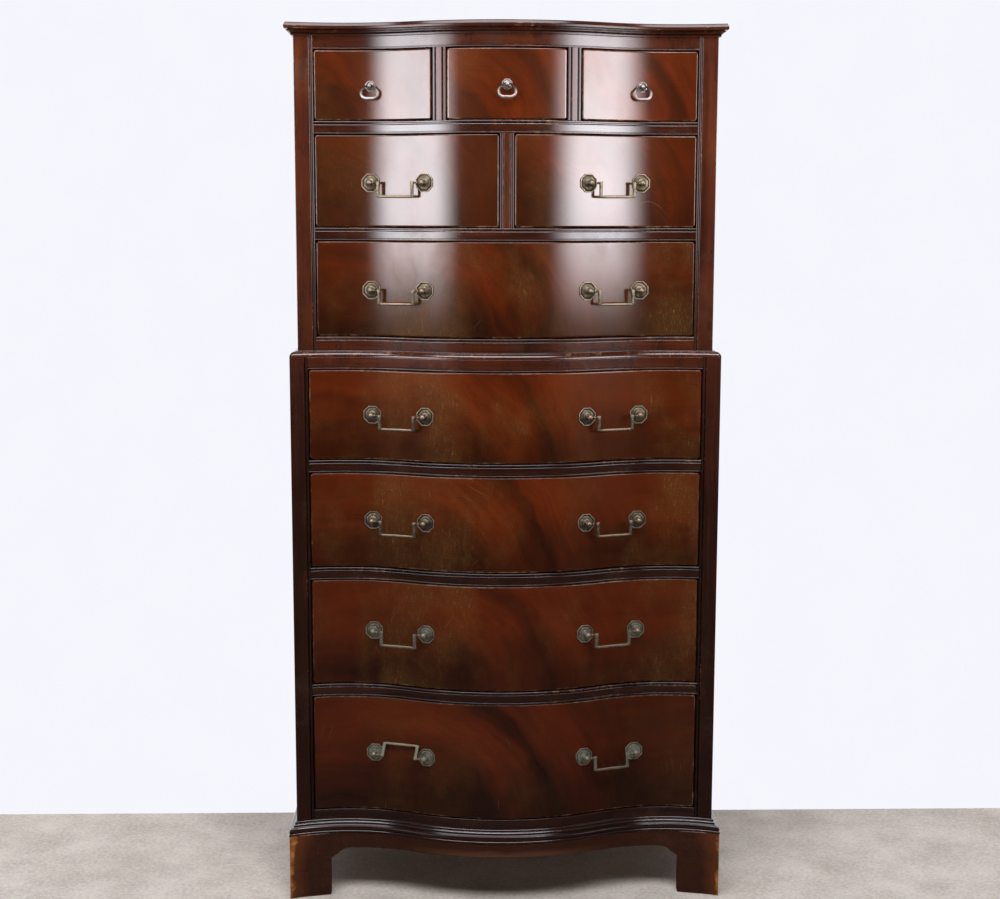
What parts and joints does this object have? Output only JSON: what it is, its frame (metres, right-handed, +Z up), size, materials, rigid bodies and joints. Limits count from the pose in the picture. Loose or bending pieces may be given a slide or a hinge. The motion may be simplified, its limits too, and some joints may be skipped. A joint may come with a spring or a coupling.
{
  "type": "chest of drawers",
  "caption": "Tall serpentine-front mahogany chest of drawers, narrower above a waist moulding, on bracket feet, with sliding drawers and swinging brass bail and ring pulls.",
  "frame": {"origin": "on the floor, under the middle of the chest's bounding box", "axes": "+Z up, -Y towards the person who opens the drawers, +X to that person's right"},
  "size_m": [0.842, 0.5081, 1.676],
  "materials": {
    "front_mahogany": "polished figured mahogany",
    "case_mahogany": "polished dark mahogany",
    "plain_wood": "bare secondary wood",
    "brass": "aged brass with a dull patina",
    "steel_grey_brass": "worn greyish brass"
  },
  "bodies": {
    "carcass": {"top_board": "case_mahogany", "upper_side_left": "case_mahogany", "upper_side_right": "case_mahogany", "upper_face_frame": "case_mahogany", "upper_runners": "plain_wood", "upper_back": "plain_wood", "waist_board": "case_mahogany", "waist_moulding": "case_mahogany", "lower_side_left": "case_mahogany", "lower_side_right": "case_mahogany", "lower_face_frame": "case_mahogany", "lower_runners": "plain_wood", "lower_back": "plain_wood", "base_moulding": "case_mahogany", "bracket_base": "case_mahogany"},
    "drawer_1_left": {"drawer_1_left_front": "front_mahogany", "drawer_1_left_box": "plain_wood", "drawer_1_left_posts": "brass"},
    "ring_1_left": {"ring_1_left": "steel_grey_brass"},
    "drawer_1_middle": {"drawer_1_middle_front": "front_mahogany", "drawer_1_middle_box": "plain_wood", "drawer_1_middle_posts": "brass"},
    "ring_1_middle": {"ring_1_middle": "steel_grey_brass"},
    "drawer_1_right": {"drawer_1_right_front": "front_mahogany", "drawer_1_right_box": "plain_wood", "drawer_1_right_posts": "brass"},
    "ring_1_right": {"ring_1_right": "steel_grey_brass"},
    "drawer_2_left": {"drawer_2_left_front": "front_mahogany", "drawer_2_left_box": "plain_wood", "drawer_2_left_posts": "brass"},
    "bail_2_left": {"bail_2_left": "brass"},
    "drawer_2_right": {"drawer_2_right_front": "front_mahogany", "drawer_2_right_box": "plain_wood", "drawer_2_right_posts": "brass"},
    "bail_2_right": {"bail_2_right": "brass"},
    "drawer_3": {"drawer_3_front": "front_mahogany", "drawer_3_box": "plain_wood", "drawer_3_posts": "brass"},
    "bail_3_left": {"bail_3_left": "brass"},
    "bail_3_right": {"bail_3_right": "brass"},
    "drawer_4": {"drawer_4_front": "front_mahogany", "drawer_4_box": "plain_wood", "drawer_4_posts": "brass"},
    "bail_4_left": {"bail_4_left": "brass"},
    "bail_4_right": {"bail_4_right": "brass"},
    "drawer_5": {"drawer_5_front": "front_mahogany", "drawer_5_box": "plain_wood", "drawer_5_posts": "brass"},
    "bail_5_left": {"bail_5_left": "brass"},
    "bail_5_right": {"bail_5_right": "brass"},
    "drawer_6": {"drawer_6_front": "front_mahogany", "drawer_6_box": "plain_wood", "drawer_6_posts": "brass"},
    "bail_6_left": {"bail_6_left": "brass"},
    "bail_6_right": {"bail_6_right": "brass"},
    "drawer_7": {"drawer_7_front": "front_mahogany", "drawer_7_box": "plain_wood", "drawer_7_posts": "brass"},
    "bail_7_left": {"bail_7_left": "brass"},
    "bail_7_right": {"bail_7_right": "brass"}
  },
  "joints": [
    {"name": "drawer_1_left_slide", "type": "slide", "parent": "carcass", "child": "drawer_1_left", "axis": [0, -1, 0], "range_m": [0, 0.3]},
    {"name": "ring_1_left_swing", "type": "hinge", "parent": "drawer_1_left", "child": "ring_1_left", "pos_m": [-0.25322, -0.17455, 1.56255], "axis": [-0.9841, 0.1776, 0], "range_deg": [-16, 196]},
    {"name": "drawer_1_middle_slide", "type": "slide", "parent": "carcass", "child": "drawer_1_middle", "axis": [0, -1, 0], "range_m": [0, 0.3]},
    {"name": "ring_1_middle_swing", "type": "hinge", "parent": "drawer_1_middle", "child": "ring_1_middle", "pos_m": [0, -0.23662, 1.56255], "axis": [-1, 0, 0], "range_deg": [-16, 196]},
    {"name": "drawer_1_right_slide", "type": "slide", "parent": "carcass", "child": "drawer_1_right", "axis": [0, -1, 0], "range_m": [0, 0.3]},
    {"name": "ring_1_right_swing", "type": "hinge", "parent": "drawer_1_right", "child": "ring_1_right", "pos_m": [0.25322, -0.17455, 1.56255], "axis": [-0.9841, -0.1776, 0], "range_deg": [-16, 196]},
    {"name": "drawer_2_left_slide", "type": "slide", "parent": "carcass", "child": "drawer_2_left", "axis": [0, -1, 0], "range_m": [0, 0.3]},
    {"name": "bail_2_left_swing", "type": "hinge", "parent": "drawer_2_left", "child": "bail_2_left", "pos_m": [-0.20638, -0.19658, 1.38597], "axis": [-0.949, 0.3153, 0], "range_deg": [-32, 212]},
    {"name": "drawer_2_right_slide", "type": "slide", "parent": "carcass", "child": "drawer_2_right", "axis": [0, -1, 0], "range_m": [0, 0.3]},
    {"name": "bail_2_right_swing", "type": "hinge", "parent": "drawer_2_right", "child": "bail_2_right", "pos_m": [0.20638, -0.19658, 1.38597], "axis": [-0.949, -0.3153, 0], "range_deg": [-32, 212]},
    {"name": "drawer_3_slide", "type": "slide", "parent": "carcass", "child": "drawer_3", "axis": [0, -1, 0], "range_m": [0, 0.3]},
    {"name": "bail_3_left_swing", "type": "hinge", "parent": "drawer_3", "child": "bail_3_left", "pos_m": [-0.20638, -0.19658, 1.18693], "axis": [-0.949, 0.3153, 0], "range_deg": [-32, 212]},
    {"name": "bail_3_right_swing", "type": "hinge", "parent": "drawer_3", "child": "bail_3_right", "pos_m": [0.20638, -0.19658, 1.18693], "axis": [-0.949, -0.3153, 0], "range_deg": [-32, 212]},
    {"name": "drawer_4_slide", "type": "slide", "parent": "carcass", "child": "drawer_4", "axis": [0, -1, 0], "range_m": [0, 0.3]},
    {"name": "bail_4_left_swing", "type": "hinge", "parent": "drawer_4", "child": "bail_4_left", "pos_m": [-0.20635, -0.20913, 0.95192], "axis": [-0.9472, 0.3207, 0], "range_deg": [-32, 212]},
    {"name": "bail_4_right_swing", "type": "hinge", "parent": "drawer_4", "child": "bail_4_right", "pos_m": [0.20635, -0.20913, 0.95192], "axis": [-0.9472, -0.3207, 0], "range_deg": [-32, 212]},
    {"name": "drawer_5_slide", "type": "slide", "parent": "carcass", "child": "drawer_5", "axis": [0, -1, 0], "range_m": [0, 0.3]},
    {"name": "bail_5_left_swing", "type": "hinge", "parent": "drawer_5", "child": "bail_5_left", "pos_m": [-0.20635, -0.20913, 0.74906], "axis": [-0.9472, 0.3207, 0], "range_deg": [-32, 212]},
    {"name": "bail_5_right_swing", "type": "hinge", "parent": "drawer_5", "child": "bail_5_right", "pos_m": [0.20635, -0.20913, 0.74906], "axis": [-0.9472, -0.3207, 0], "range_deg": [-32, 212]},
    {"name": "drawer_6_slide", "type": "slide", "parent": "carcass", "child": "drawer_6", "axis": [0, -1, 0], "range_m": [0, 0.3]},
    {"name": "bail_6_left_swing", "type": "hinge", "parent": "drawer_6", "child": "bail_6_left", "pos_m": [-0.20635, -0.20913, 0.5329], "axis": [-0.9472, 0.3207, 0], "range_deg": [-32, 212]},
    {"name": "bail_6_right_swing", "type": "hinge", "parent": "drawer_6", "child": "bail_6_right", "pos_m": [0.20635, -0.20913, 0.5329], "axis": [-0.9472, -0.3207, 0], "range_deg": [-32, 212]},
    {"name": "drawer_7_slide", "type": "slide", "parent": "carcass", "child": "drawer_7", "axis": [0, -1, 0], "range_m": [0, 0.3]},
    {"name": "bail_7_left_swing", "type": "hinge", "parent": "drawer_7", "child": "bail_7_left", "pos_m": [-0.20635, -0.20913, 0.28809], "axis": [-0.9472, 0.3207, 0], "range_deg": [-244.09, 0]},
    {"name": "bail_7_right_swing", "type": "hinge", "parent": "drawer_7", "child": "bail_7_right", "pos_m": [0.20635, -0.20913, 0.28809], "axis": [-0.9472, -0.3207, 0], "range_deg": [-32, 212]}
  ]
}
